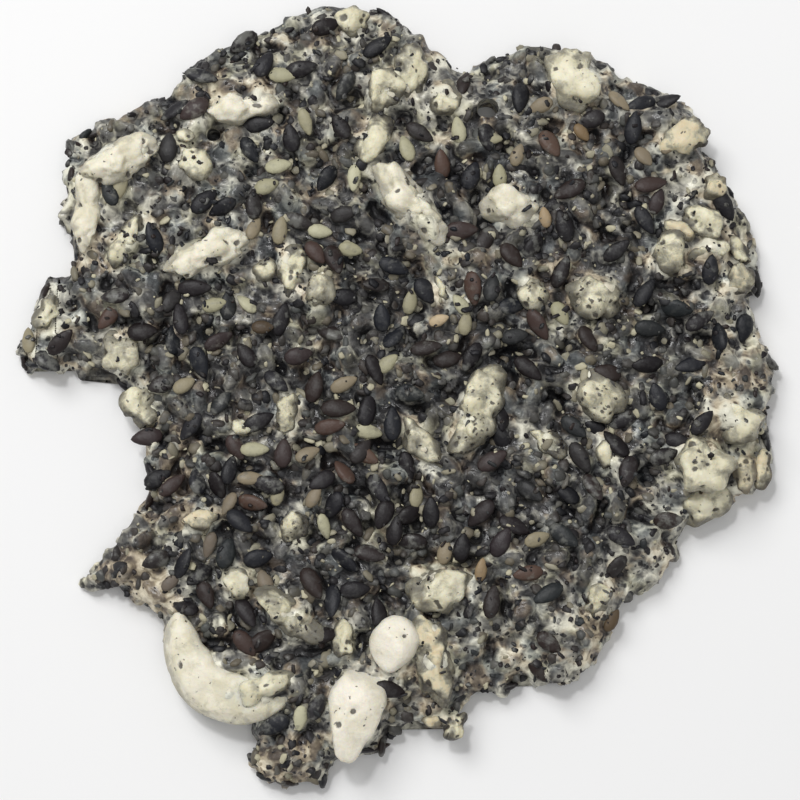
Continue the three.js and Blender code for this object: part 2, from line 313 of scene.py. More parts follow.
NUT_FLATNESS = 0.8
NUT_RISE = 0.06
NUT_BREAKS = 9
BREAK_DEPTHS = (0.6, 1.0)
BREAK_SHARPNESS = 18
FULLNESS = 1.18
PITS_A_SQUARE_MM = 0.6
PIT_RADII = (0.25, 0.6)
PIT_DEPTH = 0.3
LONG_NUT = 6
SHORT_NUT = 2.4
NUTS = [
    # x, y, length, width, heading in degrees, and the bend radius of the whole crescent
    # far left quarter
    (-3.9, 35.6, 2.7, 2.3, 0), (-15.1, 27.1, 6.3, 2.7, 8), (-26.4, 21.9, 7.0, 3.4, 15),
    (-29.4, 17.3, 8.0, 2.3, 88), (-19.2, 21.5, 3.1, 2.6, 110), (-1.1, 28.5, 4.2, 3.2, 60),
    (-2.1, 23.8, 4.4, 2.7, 80), (-17.8, 12.7, 7.0, 3.3, 21), (-9.8, 11.1, 4.4, 3.0, 95),
    (-7.2, 8.9, 2.9, 2.1, 70), (-25.5, 14.0, 4.8, 2.3, 65), (-26.0, 3.2, 4.2, 3.2, 110),
    (-33.1, 7.1, 3.4, 2.5, 70),
    # far right quarter
    (1.6, 17.2, 8.8, 3.5, -50), (1.4, 30.2, 5.3, 2.7, 95), (4.8, 27.9, 3.0, 2.9, 0),
    (17.3, 29.7, 5.1, 4.2, -60), (27.7, 24.1, 4.6, 3.2, 25), (10.9, 17.2, 4.6, 3.4, -25),
    (29.0, 15.7, 3.6, 2.7, -40), (26.0, 12.8, 3.4, 3.0, 0), (30.0, 13.1, 3.2, 2.5, 20),
    (13.2, 8.9, 2.9, 2.3, -60), (18.9, 8.6, 4.4, 3.8, 0), (32.6, 9.9, 2.7, 2.3, 60),
    # near left quarter
    (-24.3, -1.6, 3.6, 2.9, 70), (-17.6, -28.3, 14.0, 4.3, -35, 6.8), (-12.5, -28.4, 5.7, 2.5, 20),
    (-15.0, -18.7, 3.0, 2.7, 0), (-9.9, -21.6, 6.1, 3.2, -38), (-3.8, -30.8, 8.7, 4.8, 75),
    (-0.3, -24.5, 4.7, 3.9, 60), (-9.6, -13.1, 3.4, 2.3, 80), (-10.2, -2.6, 3.2, 1.9, 75),
    # near right quarter
    (3.5, -25.4, 7.4, 3.6, -80), (4.2, -19.2, 5.3, 4.0, 15), (7.4, -2.7, 8.1, 3.4, 65),
    (2.2, -5.4, 5.2, 2.3, -50), (14.1, -5.2, 4.9, 2.1, -30), (32.1, -3.0, 4.8, 3.8, -35),
    (29.0, -7.5, 4.9, 4.4, 30), (33.1, -8.0, 3.4, 1.7, 85), (34.9, -7.4, 3.6, 1.7, 80),
    (29.2, -11.3, 4.2, 3.2, 40), (18.9, -20.0, 4.0, 2.5, 60), (19.1, -1.1, 4.6, 3.4, -50),
    # small chips between them
    (30.5, 19.4, 2.6, 2.1, 80), (32.8, 13.2, 2.6, 1.4, -60), (26.9, 15.1, 2.9, 1.6, -25),
    (-4.8, -23.9, 3.6, 1.8, 95), (19.8, -6.5, 2.3, 1.3, -70), (-18.4, -12.6, 2.8, 1.6, 10),
    (-14.6, -3.9, 2.2, 1.5, -15), (5.8, -31.8, 2.6, 2.2, 60), (3.3, -31.5, 2.0, 1.3, -20),
    (4.3, 9.3, 2.2, 1.0, -70), (-20.1, 24.1, 1.6, 1.2, 0), (-12.4, 11.1, 2.2, 1.8, 30),
]

# Which of them, counted from 0, are unlike the rest
CLEAN_WHITE_NUTS = (30, 31)
SMOOTH_NUTS = (26, 30, 31)
BRIGHT_NUTS = (1, 2, 3, 7, 13, 18, 26)
DULL_NUTS = (9, 11, 12, 20, 21, 22, 23, 24, 29, 32, 33, 36, 37, 38, 41, 45, 51, 53, 57)
TAN_NUTS = (17, 24, 34, 41, 42, 46, 48, 51, 54)


def ball(fineness):
    """Points and faces of a unit ball of near-equal triangles."""
    builder = bmesh.new()
    bmesh.ops.create_icosphere(builder, subdivisions=fineness, radius=1)
    points = np.array([v.co for v in builder.verts])
    faces = [tuple(v.index for v in f.verts) for f in builder.faces]
    builder.free()
    return points, faces


def bent(points, radius):
    """The points wound round an upright arc, with their middle left in place."""
    turn = points[:, 0] / radius
    reach = radius - points[:, 1]
    return np.c_[reach * np.sin(turn), radius - reach * np.cos(turn), points[:, 2]]


def chopped_lump(index, length, width, fineness):
    """A nut piece about the origin: a ball cut by soft flat breaks, lumpy and pitted.

    Gives its points and faces, and for each point how deep in a pit, which the finish
    paints dark as shade, and how bare of sugar it is.
    """
    points, faces = ball(fineness)
    draw = np.random.default_rng(index)
    normals = draw.normal(size=(NUT_BREAKS, 3))
    normals /= np.linalg.norm(normals, axis=1)[:, None]
    depths = draw.uniform(*BREAK_DEPTHS, NUT_BREAKS)
    cuts = np.clip(points @ normals.T, 0, None) / depths
    reach = (1 + (cuts ** BREAK_SHARPNESS).sum(axis=1)) ** (-1 / BREAK_SHARPNESS)
    size = np.array([length, width, NUT_FLATNESS * width])
    points = points * reach[:, None] * size / 2 * FULLNESS
    x, y, z = points.T + 40 * (index + 1)
    relief = 1.3 * (lumpiness(x, y, z, 2.2, 3) - 0.5) + 0.9 * (lumpiness(x, y, z, 1.1, 4) - 0.5)
    smooth = index in SMOOTH_NUTS
    relief = relief * (0.25 if smooth else min(1, width / 3.5))
    relief = relief + (0.1 if smooth else 0.4) * (lumpiness(x, y, z, 0.5, 5) - 0.5)
    speck = np.zeros(len(points))
    pits = round(PITS_A_SQUARE_MM * length * width * (0.25 if smooth else 1))
    for _ in range(pits):
        away = np.linalg.norm(points - points[draw.integers(len(points))], axis=1)
        radius = draw.uniform(*PIT_RADII)
        speck = np.maximum(speck, ease(-away, -radius, 0))
    bare = points[:, 2] / (NUT_FLATNESS * width / 2) + 0.7 * (lumpiness(x, y, z, 0.8, 6) - 0.5)
    outwards = points / np.linalg.norm(points, axis=1)[:, None]
    points = points + outwards * (relief - PIT_DEPTH * speck)[:, None]
    return points, faces, speck, ease(bare, -0.9 if smooth else 0.15, 0.95)


def nut_place(x, y, width):
    """The middle of a nut piece."""
    return np.array([x, y, sugar_level(x, y) + NUT_RISE * width])


flesh = Finish("nut_flesh")
tone = flesh.own("tone")
mottle = flesh.cloud(2.2, detail=3)
grain = flesh.cloud(0.3, detail=3, roughness=0.6)
glaze = flesh.cloud(1.3, detail=3, roughness=0.6, shift=21, warp=0.6)
dull = flesh.own("dull")
cream = flesh.blend(tone, paint(229, 224, 197), paint(241, 235, 220))
cream = flesh.blend(mottle.rise(0.44, 0.66) * (0.8 - 0.5 * tone), cream, paint(204, 197, 166))
cream = flesh.blend(flesh.own("tan") * 0.55, cream, paint(208, 184, 146))
veil = 0.87 - flesh.own("bare") * 0.75 + dull * 0.25 + (glaze - 0.5) * 1.5 + (grain - 0.5) * 0.4
veiled = flesh.ramp(veil, [
    (0.25, 212, 206, 176), (0.5, 164, 160, 141), (0.75, 114, 110, 96),
    (1.0, 70, 67, 62),
])
cream = flesh.blend(veil.rise(0.05, 0.5) * (1 - 0.8 * tone), cream, veiled)
# Dark specks: bits of hull spread by the cells, and painted shade in the nut's pits from the pit mask.
specks_and_pit_shade = (flesh.cells(0.75) - dull * 0.1 - (grain - 0.5) * 0.3).rise(0.17, 0.07)
specks_and_pit_shade = specks_and_pit_shade * (flesh.cloud(2.6, shift=9) + dull * 0.08).rise(0.5, 0.57)
specks_and_pit_shade = specks_and_pit_shade.higher((flesh.own("speck") + grain * 0.4).rise(0.45, 0.8))
cream = flesh.blend(specks_and_pit_shade * 0.85, cream, paint(48, 42, 38))
nut_finish = flesh.shader(
    Base_Color=cream,
    Roughness=grain.rise(0.3, 0.7) * 0.2 + 0.4,
    Normal=flesh.bump(grain * 0.5 + mottle, 0.25, 0.6),
    Subsurface_Weight=0.35,
    Subsurface_Radius=(0.9, 0.7, 0.4),
    Subsurface_Scale=0.001,
)


def nut_tone(index):
    """From 0, cream, to 1, clean white."""
    if index in CLEAN_WHITE_NUTS:
        return 1.0
    return 0.65 if index in BRIGHT_NUTS else 0.25 * chance(index, 31)


def nut_dullness(index):
    """From 0 to 1, how dusty and veiled with sugar a nut is."""
    if index in DULL_NUTS:
        return 1.0
    return 0.0 if index in BRIGHT_NUTS else 0.5 * chance(index, 33)


nut_points, nut_faces, nut_numbers = [], [], []
for index, (x, y, length, width, heading, *bend) in enumerate(NUTS):
    fineness = 5 if length > LONG_NUT else 4 if length > SHORT_NUT else 3
    points, faces, speck, bare = chopped_lump(index, length, width, fineness)
    if bend:
        points = bent(points, bend[0])
    points = points @ turned(math.radians(heading)).T + nut_place(x, y, width)
    start = sum(len(p) for p in nut_points)
    nut_faces += [tuple(start + v for v in face) for face in faces]
    nut_points.append(points)
    whole = np.tile([nut_tone(index), nut_dullness(index), index in TAN_NUTS], (len(points), 1))
    nut_numbers.append(np.c_[whole, speck, bare])
tone, dull, tan, speck, bare = np.vstack(nut_numbers).T
nuts = mesh_piece(
    "nut_pieces", np.vstack(nut_points), nut_faces, nut_finish,
    tone=tone, dull=dull, tan=tan, speck=speck, bare=bare,
)
set_in_slab(nuts)


# Sesame seeds.
# Toasted seeds are flattened drops, blunt at one end. The dark ones lie on the sugar in
# every direction. The placed and the spiral ones are those of the solid slab, and the
# rest fill the gaps, some of them sunk under a film of sugar.
SEED_LENGTH = 3.3
SEED_WIDTH = 1.95
SEED_THICKNESS = 0.95
SEED_SIDES = 10
SEED_CORNERS = 2.5
SEED_SPACING = 4.6
SEED_NUDGE = 1.6
SEED_CLEARANCE = 3.2
NUT_CLEARANCE = 0.6
SPIRAL_SEEDS = 260
EDGE_CLEARANCE = 1.6
FILL_REACH = 42
FILL_SPACING = 1.75
FILL_NUDGE = 1.1
FILL_CLEARANCE = 1.7
FILL_NUT_CLEARANCE = 0.7
FILL_EDGE_CLEARANCE = 0.7
FILL_BUBBLE_CLEARANCE = 1.3
GOLDEN_TURN = math.pi * (3 - math.sqrt(5))
SPIRAL_REACH = 0.565
BUBBLE_SIDES = 24
BUBBLES = [
    # burst as the sugar set: x, y, radius, floor. The first goes right through
    (8.8, 26.9, 1.05, -1.0), (-17.5, 24.5, 0.7, 1.2),
]
PLACED_SEEDS = [
    # x, y, heading in degrees
    (-10.0, 23.8, 100), (-12.6, 31.1, 60), (-21.7, 22.9, 85), (-23.0, 14.2, 110),
    (-4.9, 16.5, 15), (-19.1, 9.4, 0), (-20.4, 6.4, 100), (-24.0, 5.2, 5),
    (-31.8, 4.3, 45), (-7.7, -0.1, 75), (-5.4, -2.2, 0), (-9.2, 2.9, 15), (-0.3, -3.6, 90),
    (3.3, -12.0, 90), (-0.1, -13.7, 80), (9.1, -7.1, 30), (6.2, -15.3, 80),
    (11.3, 4.8, 10), (22.7, 24.9, 80), (21.2, 20.7, -70), (24.3, 19.4, 10),
    (23.7, 15.9, -60), (31.4, 17.6, -60), (11.0, 12.4, -50), (9.1, 9.3, 80),
    (23.6, 8.9, 55), (24.1, 5.5, -5), (18.2, 4.4, -60), (6.2, 14.9, 5), (7.2, 20.2, 70),
    (16.8, -3.9, -40), (17.4, -6.8, -60), (-0.5, -28.6, -15), (-14.0, -21.4, -60),
    (-14.1, -24.3, -50), (-15.9, -15.8, 75), (-12.9, -16.3, 15), (-14.6, -12.9, -40),
    (-3.8, -19.3, 5), (9.9, -14.8, 60), (9.0, -20.4, 80),
]
BROWN_PLACED = (11, 15, 20, 28, 34, 39)
BROWN_SEEDS = [
    # x, y, heading in degrees
    (-7.6, 12.7, -50), (-15.1, -5.8, -60), (-10.6, -6.4, 85), (-6.2, -3.9, 10), (24.9, 17.8, 70),
    (-3.0, -6.5, -30), (-21.1, -9.3, 40),
]
PALE_SEEDS = [
    # x, y, heading, tint from 0, hulled white, to 1, toasted brown
    (-17.2, 7.8, 15, 0.3), (-7.2, 14.9, -5, 0.1), (15.6, 6.9, -60, 0.3), (1.4, 8.2, 75, 0.35),
    (6.6, 6.0, 80, 0.4), (-4.9, 0.2, 25, 0.6), (-8.6, 25.3, -72, 0.35), (-12.3, 19.2, 20, 0.3),
    (-26.3, 19.0, 60, 0.4), (-11.2, 21.2, 10, 0.15), (-10.8, 30.1, 0, 0.25), (-4.3, 13.1, -10, 0.3),
    (-11.0, 14.9, 80, 0.5), (-0.8, 2.1, 40, 0.3), (9.0, 23.8, -5, 0.35), (6.0, 24.7, 100, 0.15),
    (9.9, 20.2, 90, 0.3), (11.6, 22.2, 70, 0.6), (-13.3, -6.0, 0, 0.2), (-8.3, -6.5, 25, 0.65),
    (-13.6, -8.8, 0, 0.6), (-11.1, -10.1, 80, 0.4), (-2.6, -4.3, -10, 0.2), (4.6, -15.7, 80, 0.6),
    (-20.0, 0.1, 30, 0.5), (26.3, 23.5, 50, 0.7), (13.3, -14.5, 20, 0.5), (-7.7, -10.5, 60, 0.7),
]
AMBER_SEEDS = [
    # x, y, heading and tint, for the few toasted right through
    (14.2, 16.2, 100, 0.3), (17.8, 24.5, -50, 0.6), (-12.6, 5.6, 0, 1.0), (8.0, -17.4, 80, 0.4),
    (4.1, 6.3, 20, 0.0), (20.4, -22.0, 60, 0.9),
]
PALE_PATCHES = [
    # pools of cloudy cream sugar: x, y, radius, strength
    (-27.2, 18.6, 5.5, 0.9), (-15.6, 27.5, 3.5, 0.8), (-17.8, 21.5, 4.5, 0.6),
    (-1.3, 28.8, 3.5, 0.8), (3.6, 28.9, 4.0, 0.8), (-0.3, 35.2, 3.0, 0.5),
    (5.5, 10.5, 3.5, 0.8), (28.3, 15.8, 5.0, 0.8), (33.8, 4.4, 4.5, 0.7),
    (32.2, -2.1, 4.0, 0.7), (16.3, 8.6, 4.5, 0.6), (20.3, -0.6, 3.5, 0.5),
    (21.1, -5.8, 3.5, 0.45), (29.5, -9.5, 5.0, 0.8), (11.6, -17.6, 3.5, 0.5),
    (18.0, -20.1, 4.0, 0.6), (15.6, -24.9, 4.5, 0.45), (-13.3, -28.3, 3.5, 0.9),
    (-25.0, -0.5, 3.0, 0.6), (-15.5, 9.1, 3.0, 0.5), (0.4, 2.5, 2.8, 0.4),
    (-7.8, 3.6, 2.8, 0.4), (-22.2, -14.5, 3.0, 0.35), (-10.2, -34.2, 4.0, 0.35),
    (14.4, 24.4, 5.0, 0.3), (-0.2, -25.4, 3.5, 0.5), (3.2, -26.8, 4.0, 0.7),
    (-19.6, 19.9, 9.0, 0.6), (-6.3, 31.6, 6.0, 0.45), (33.3, 8.5, 5.0, 0.75),
    (32.9, 18.2, 4.0, 0.7), (29.8, 23.4, 3.6, 0.6), (15.6, -23.9, 7.0, 0.62),
    (23.0, -19.1, 5.0, 0.65), (15.4, -27.6, 5.0, 0.6), (-9.9, -35.1, 5.0, 0.42),
    (-30.5, 19.6, 3.5, 0.9), (25.1, 28.4, 4.0, 0.6), (26.1, -14.4, 4.0, 0.6),
    (-31.9, 4.6, 4.0, 0.35), (-23.1, -16.4, 4.5, 0.35), (22.7, 2.8, 4.0, 0.3),
    (-22.2, -19.8, 2.5, 0.9), (4.3, 24.6, 2.0, 0.7), (16.2, 21.4, 2.0, 0.6),
    (5.7, -32.1, 2.0, 0.9), (-14.3, 23.5, 3.4, 0.9), (-6.9, 18.6, 2.8, 0.7),
    (-5.5, 25.7, 2.5, 0.45), (-21.0, -19.2, 2.5, 0.8), (5.6, -22.7, 3.2, 0.9),
]
TOFFEE_PATCHES = [
    # sugar that browned in the pan: x, y, radius
    (-11.4, -36.5, 4.0), (-23.1, -9.2, 4.0), (-25.0, -19.5, 4.5), (-29.5, 12.4, 2.5),
    (-17.4, 28.7, 2.5), (28.8, 11.2, 3.0), (31.1, 1.7, 3.0), (28.1, -4.8, 2.5),
    (20.1, -23.3, 3.0), (6.7, -28.2, 2.5), (16.8, 9.3, 3.0), (17.4, 25.1, 3.0),
]


def pool(x, y, centre, inner, outer):
    """1 within the inner radius of the centre, 0 beyond the outer one, smooth between."""
    return ease(-np.hypot(x - centre[0], y - centre[1]), -outer, -inner)


def cream_share(x, y):
    """How milky the sugar is at (x, y), from 0 to 1: in pools, and round each nut."""
    share = np.zeros(np.shape(x))
    for px, py, radius, strength in PALE_PATCHES:
        share = np.maximum(share, strength * pool(x, y, (px, py), 0.45 * radius, 1.35 * radius))
    for nut in NUTS:
        share = np.maximum(share, ease(-nut_gap(x, y, nut), -1.7, 0.1))
    return share


def beside_nut(x, y, nut):
    """Places seen from above, as distances along and across a nut, round its bend."""
    nx, ny, _, _, heading, *bend = nut
    aim = math.radians(heading)
    along = (x - nx) * math.cos(aim) + (y - ny) * math.sin(aim)
    across = (y - ny) * math.cos(aim) - (x - nx) * math.sin(aim)
    if bend:
        reach = np.hypot(along, bend[0] - across)
        along, across = bend[0] * np.arctan2(along, bend[0] - across), bend[0] - reach
    return along, across


def nut_gap(x, y, nut):
    """About how far (x, y) is from a nut's side, seen from above."""
    length, width = nut[2:4]
    along, across = beside_nut(x, y, nut)
    return (np.hypot(along / (length / 2), across / (width / 2)) - 1) * (length + width) / 4


def clear_of_nuts(x, y, margin):
    """Whether (x, y) is further than the margin from every nut."""
    for nut in NUTS:
        length, width = nut[2:4]
        along, across = beside_nut(x, y, nut)
        if math.hypot(along / (length / 2 + margin), across / (width / 2 + margin)) <= 1:
            return False
    return True


def clear_of_bubbles(x, y, margin):
    """Whether (x, y) is further than the margin from both bubbles."""
    return all(math.hypot(x - bx, y - by) > radius + margin for bx, by, radius, _ in BUBBLES)


def spiral(i, spacing, nudge, salt):
    """Place i of a sunflower spiral, nudged at random so that no pattern shows."""
    reach = spacing * SPIRAL_REACH * math.sqrt(i + 0.5)
    x = reach * math.cos(i * GOLDEN_TURN) + (chance(i, salt) - 0.5) * nudge
    y = reach * math.sin(i * GOLDEN_TURN) + (chance(i, salt + 1) - 0.5) * nudge
    return x, y


def nearest_seed(x, y, others):
    """How far (x, y) is from the nearest of the other seeds."""
    return min(math.hypot(x - other[0], y - other[1]) for other in others)


shown = list(PLACED_SEEDS)
for i in range(SPIRAL_SEEDS):
    x, y = spiral(i, SEED_SPACING, SEED_NUDGE, 1)
    free = nearest_seed(x, y, shown) > SEED_CLEARANCE and clear_of_nuts(x, y, NUT_CLEARANCE)
    if free and depth_inside(np.array(x), np.array(y)) > EDGE_CLEARANCE:
        shown.append((x, y, 360 * chance(i, 6)))


def seed_row(i, x, y, heading, lift, tumble, tint, film, size=1.0):
    """One row a seed: place, turn (roll, pitch, heading), three sizes, tint, film."""
    roll = (chance(i, 3) - 0.5) * tumble
    pitch = (chance(i, 4) - 0.5) * tumble * 0.6
    z = float(sugar_level(x, y)) + lift
    length = size * (0.84 + 0.2 * chance(i, 41))
    width = size * (0.76 + 0.2 * chance(i, 42))
    return [x, y, z, roll, pitch, math.radians(heading), length, width, width, tint, film]


black_rows, brown_rows, pale_rows, amber_rows, sunk_rows = [], [], [], [], []
for i, (x, y, heading) in enumerate(shown):
    placed = i < len(PLACED_SEEDS)
    lift = 0.12 + 0.2 * chance(i, 5)
    film = (0.2 if placed else 0.8) * chance(i, 52)
    row = seed_row(i, x, y, heading, lift, 0.6, chance(i, 51), film)
    brown = i in BROWN_PLACED if placed else chance(i, 53) < 0.12
    (brown_rows if brown else black_rows).append(row)
for i, (x, y, heading) in enumerate(BROWN_SEEDS):
    brown_rows.append(seed_row(i, x, y, heading, 0.15, 0.4, chance(i, 54), 0.2, 0.95))
for i, (x, y, heading, tint) in enumerate(PALE_SEEDS):
    lift = 0.1 + 0.2 * chance(i, 55)
    pale_rows.append(seed_row(i, x, y, heading, lift, 0.4, tint, 0.5 * chance(i, 56), 0.84))
for i, (x, y, heading, tint) in enumerate(AMBER_SEEDS):
    amber_rows.append(seed_row(i, x, y, heading, 0.1, 0.5, tint, 0.2, 0.72))

# A tighter spiral fills the gaps. Where the sugar is milky few whole seeds show.
covered = [seed[:2] for seed in shown + BROWN_SEEDS + PALE_SEEDS + AMBER_SEEDS]
i = 0
while SPIRAL_REACH * FILL_SPACING * math.sqrt(i) < FILL_REACH:
    i += 1
    x, y = spiral(i, FILL_SPACING, FILL_NUDGE, 11)
    if depth_inside(np.array(x), np.array(y)) < FILL_EDGE_CLEARANCE:
        continue
    if not clear_of_nuts(x, y, FILL_NUT_CLEARANCE):
        continue
    if not clear_of_bubbles(x, y, FILL_BUBBLE_CLEARANCE):
        continue
    if nearest_seed(x, y, covered) < FILL_CLEARANCE:
        continue
    milky = float(cream_share(np.array(x), np.array(y)))
    heading = 360 * chance(i, 13)
    pick = chance(i, 14)
    covered.append((x, y))
    if pick < 0.3 - 0.26 * milky:
        lift = -0.35 + 0.45 * chance(i, 15)
        row = seed_row(i, x, y, heading, lift, 1.3, chance(i, 16), 0.9 * chance(i, 17) ** 2)
        (brown_rows if chance(i, 18) < 0.1 else black_rows).append(row)
    elif pick < 0.33 - 0.26 * milky:
        pale_rows.append(seed_row(i, x, y, heading, 0.0, 0.9, chance(i, 19), 0.4, 0.8))
    elif pick < 0.78:
        lift = -0.45 + 0.4 * chance(i, 15)
        sunk_rows.append(seed_row(i, x, y, heading, lift, 1.4, chance(i, 16), 1.0))


def seed_drop():
    """A unit seed along X, blunt at -X and pointed at +X, with flattened faces."""
    along = (-0.86, -0.5, 0.0, 0.5, 0.85)
    reach = (0.55, 0.93, 1.0, 0.72, 0.34)
    points = [(-1, 0, 0)]
    for x, r in zip(along, reach):
        for k in range(SEED_SIDES):
            turn = 2 * math.pi * (k + 0.5) / SEED_SIDES
            c, s = math.cos(turn), math.sin(turn)
            squash = (abs(c) ** SEED_CORNERS + abs(s) ** SEED_CORNERS) ** (-1 / SEED_CORNERS)
            points.append((x, r * c * squash, r * s * squash))
    points.append((1, 0, 0))
    last = len(points) - 1
    faces = []
    for k in range(SEED_SIDES):
        after = (k + 1) % SEED_SIDES
        faces.append((0, 1 + after, 1 + k))
        for ring in range(len(along) - 1):
            low = 1 + ring * SEED_SIDES
            high = low + SEED_SIDES
            faces.append((low + k, low + after, high + after, high + k))
        faces.append((last, last - SEED_SIDES + k, last - SEED_SIDES + after))
    return points, faces


def strewing_tree():
    """Copies a shape onto points that carry their turn, size and numbers."""
    tree = bpy.data.node_groups.new("strewing", "GeometryNodeTree")
    face = tree.interface
    face.new_socket("Geometry", in_out="INPUT", socket_type="NodeSocketGeometry")
    face.new_socket("Shape", in_out="INPUT", socket_type="NodeSocketObject")
    for name in ("Length", "Width", "Thickness"):
        face.new_socket(name, in_out="INPUT", socket_type="NodeSocketFloat")
    face.new_socket("Finish", in_out="INPUT", socket_type="NodeSocketMaterial")
    face.new_socket("Geometry", in_out="OUTPUT", socket_type="NodeSocketGeometry")

    def add(kind, inputs=None, **settings):
        node = tree.nodes.new(kind)
        for key, value in settings.items():
            setattr(node, key, value)
        for key, value in (inputs or {}).items():
            if isinstance(value, bpy.types.NodeSocket):
                tree.links.new(value, node.inputs[key])
            else:
                node.inputs[key].default_value = value
        return node

    given = add("NodeGroupInput").outputs
    turn = add("GeometryNodeInputNamedAttribute", {"Name": "turn"}, data_type="FLOAT_VECTOR")
    size = add("GeometryNodeInputNamedAttribute", {"Name": "size"}, data_type="FLOAT_VECTOR")
    whole = {"X": given["Length"], "Y": given["Width"], "Z": given["Thickness"]}
    whole = add("ShaderNodeCombineXYZ", whole).outputs[0]
    scale = add("ShaderNodeVectorMath", {0: size.outputs[0], 1: whole}, operation="MULTIPLY")
    spin = add("FunctionNodeEulerToRotation", {0: turn.outputs[0]})
    shape = add("GeometryNodeObjectInfo", {"Object": given["Shape"]})
    copies = {
        "Points": given["Geometry"],
        "Instance": shape.outputs["Geometry"],
        "Rotation": spin.outputs[0],
        "Scale": scale.outputs[0],
    }
    flow = add("GeometryNodeInstanceOnPoints", copies).outputs[0]
    for name in ("turn", "size"):
        flow = add("GeometryNodeRemoveAttribute", {"Geometry": flow, "Name": name}).outputs[0]
    flow = add("GeometryNodeRealizeInstances", {"Geometry": flow}).outputs[0]
    flow = add("GeometryNodeSetMaterial", {"Geometry": flow, "Material": given["Finish"]}).outputs[0]
    add("NodeGroupOutput", {"Geometry": flow})
    return tree


strewing = strewing_tree()


def strewn(name, shape, rows, size, finish):
    """One plain mesh of copies of a unit shape, placed and finished by a row for each."""
    table = np.array(rows, float)
    mesh = bpy.data.meshes.new(name + "_points")
    mesh.from_pydata((table[:, :3] * MM).tolist(), [], [])
    for key, columns in (("turn", table[:, 3:6]), ("size", table[:, 6:9])):
        layer = mesh.attributes.new(key, "FLOAT_VECTOR", "POINT")
        layer.data.foreach_set("vector", columns.astype(np.float32).ravel())
    for key, column in (("tint", table[:, 9]), ("film", table[:, 10])):
        layer = mesh.attributes.new(key, "FLOAT", "POINT")
        layer.data.foreach_set("value", column.astype(np.float32))
    points = bpy.data.objects.new(name + "_points", mesh)
    bpy.context.scene.collection.objects.link(points)
    source_mesh = bpy.data.meshes.new(name + "_shape")
    shape_points, shape_faces = shape
    source_mesh.from_pydata(shape_points, [], shape_faces)
    source_mesh.shade_smooth()
    source = bpy.data.objects.new(name + "_shape", source_mesh)
    copier = points.modifiers.new("strewing", "NODES")
    copier.node_group = strewing
    values = dict(zip(("Length", "Width", "Thickness"), (s / 2 * MM for s in size)))
    values.update({"Shape": source, "Finish": finish})
    for socket in strewing.interface.items_tree:
        if socket.in_out == "INPUT" and socket.name in values:
            copier[socket.identifier] = values[socket.name]
    evaluated = points.evaluated_get(bpy.context.evaluated_depsgraph_get())
    made = bpy.data.meshes.new_from_object(evaluated)
    bpy.data.objects.remove(points)
    bpy.data.objects.remove(source)
    made.name = name
    piece = bpy.data.objects.new(name, made)
    bpy.context.scene.collection.objects.link(piece)
    return piece


def hull_finish(name, stops, smear):
    """Seed hull: coloured by the seed's tint, with a dull bloom and smears of sugar film."""
    hull = Finish(name)
    bloom = hull.cloud(0.7, detail=3, roughness=0.55)
    film = hull.cloud(1.0, detail=3, roughness=0.6, shift=5) + hull.own("film") * 0.28 - 0.66
    film = film.rise(0, 0.2)
    colour = hull.ramp(hull.own("tint"), stops)
    colour = hull.blend(bloom.rise(0.48, 0.72) * 0.22, colour, paint(92, 92, 90))
    colour = hull.blend(film * 0.7, colour, smear)
    grain = hull.cloud(0.2, detail=2)
    return hull.shader(
        Base_Color=colour,
        Roughness=0.39 + bloom * 0.22 - film * 0.16,
        Normal=hull.bump(grain * 0.4 + bloom, 0.1, 0.6),
        Specular_IOR_Level=0.34,
    )


seed = seed_drop()
seed_size = (SEED_LENGTH, SEED_WIDTH, SEED_THICKNESS)
black_hull = hull_finish("black_hull", [
    (0.0, 13, 17, 24), (0.25, 25, 18, 19), (0.5, 24, 27, 34),
    (0.75, 41, 30, 27), (1.0, 34, 39, 41),
], paint(116, 116, 111))
brown_hull = hull_finish("brown_hull", [
    (0.0, 44, 37, 40), (0.35, 59, 46, 43), (0.7, 78, 59, 51),
    (1.0, 95, 76, 64),
], paint(118, 114, 107))
pale_hull = hull_finish("pale_hull", [
    (0.0, 194, 191, 162), (0.3, 160, 156, 128), (0.6, 138, 126, 104),
    (1.0, 104, 94, 84),
], paint(112, 108, 98))
amber_hull = hull_finish("amber_hull", [
    (0.0, 190, 170, 138), (0.5, 132, 110, 80), (1.0, 74, 61, 46),
], paint(124, 116, 102))
for name, rows, finish, slot in (
    ("black_seeds", black_rows, black_hull, "dark_seed"),
    ("brown_seeds", brown_rows, brown_hull, "dark_seed"),
    ("pale_seeds", pale_rows, pale_hull, "pale_seed"),
    ("amber_seeds", amber_rows, amber_hull, "pale_seed"),
):
    set_in_slab(strewn(name, seed, rows, seed_size, finish))


# The sugar that binds them.
# Boiled sugar, clouded by crushed hulls and nut dust: a film over the sunk seeds, webs
# between the others, a fillet up each side, and a crumbly broken wall round the edge.
GRID = 0.2
FACET = 0.27
FILM = 0.06
SUGAR_BELOW_SEEDS = 0.5
FAR_BELOW = -9.0
LAP = -0.3
SMOOTH_LAP = -0.9
LAP_REACH = 1.3
LAP_WAVES = 1.3
SHOULDER = 0.7
RELIEF_LIMIT = 0.6
UNDERSIDE = 0.2
WALL_ROWS = 11
WALL_SWELL = 1.5
HOLE_SWELL = 0.3
UNDERCUT = 0.35
RIM_INSET = 0.55
LATTICE_INSET = 0.45
HOLE_INSET = 0.15
grid_x = np.arange(-38, 38, GRID)
grid_y = np.arange(-39.6, 39.6, GRID)
plan_x, plan_y = np.meshgrid(grid_x, grid_y)
level = sugar_level(plan_x, plan_y)
milk = cream_share(plan_x, plan_y)


